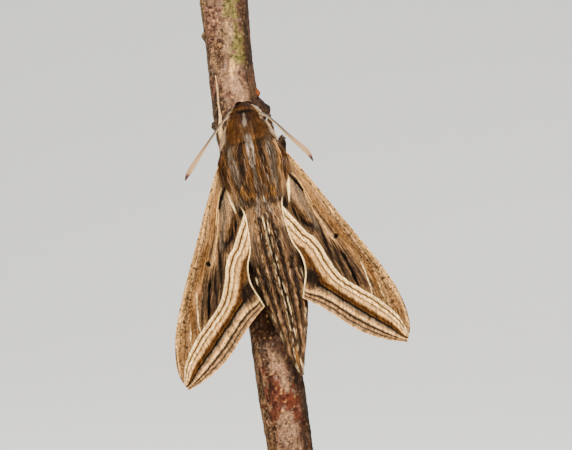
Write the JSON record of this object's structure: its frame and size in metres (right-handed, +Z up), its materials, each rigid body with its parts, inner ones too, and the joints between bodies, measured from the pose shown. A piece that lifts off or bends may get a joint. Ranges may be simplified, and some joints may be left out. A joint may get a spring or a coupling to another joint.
{
  "type": "silver-striped hawk-moth on a perch twig",
  "caption": "Life-size hawk-moth at rest, head up on a cut length of twig, forewings swept back in an arrowhead, held upright by a plain round stand.",
  "frame": {"origin": "centre of the stand's underside, on the floor", "axes": "+Z up along the twig; the moth is on the twig's -Y side, head up, its back facing -Y; +X is to the right of a viewer who looks along +Y at its back"},
  "size_m": [0.052, 0.052, 0.0842],
  "materials": {
    "body_fur": "soft scales and hair, chestnut and golden brown with pale lines",
    "wing_scales": "matt scales, ochre and brown with cream and silver stripes",
    "eye": "glossy, dark",
    "limb": "satin, cream to buff",
    "bark": "rough bark with lichen",
    "stand_wood": "dark stained, satin",
    "stand_steel": "satin rod"
  },
  "bodies": {
    "root": {"head": "body_fur", "thorax": "body_fur", "abdomen": "body_fur", "eye_left": "eye", "eye_right": "eye", "palp_left": "body_fur", "palp_right": "body_fur", "proboscis": "limb", "antenna_left": "limb", "antenna_right": "limb", "forewing_left": "wing_scales", "forewing_right": "wing_scales", "hindwing_left": "wing_scales", "hindwing_right": "wing_scales", "foreleg_left": "limb", "foreleg_right": "limb", "midleg_left": "limb", "midleg_right": "limb", "hindleg_left": "limb", "hindleg_right": "limb", "twig": "bark", "stand_base": "stand_wood", "stand_rod": "stand_steel"}
  },
  "joints": []
}
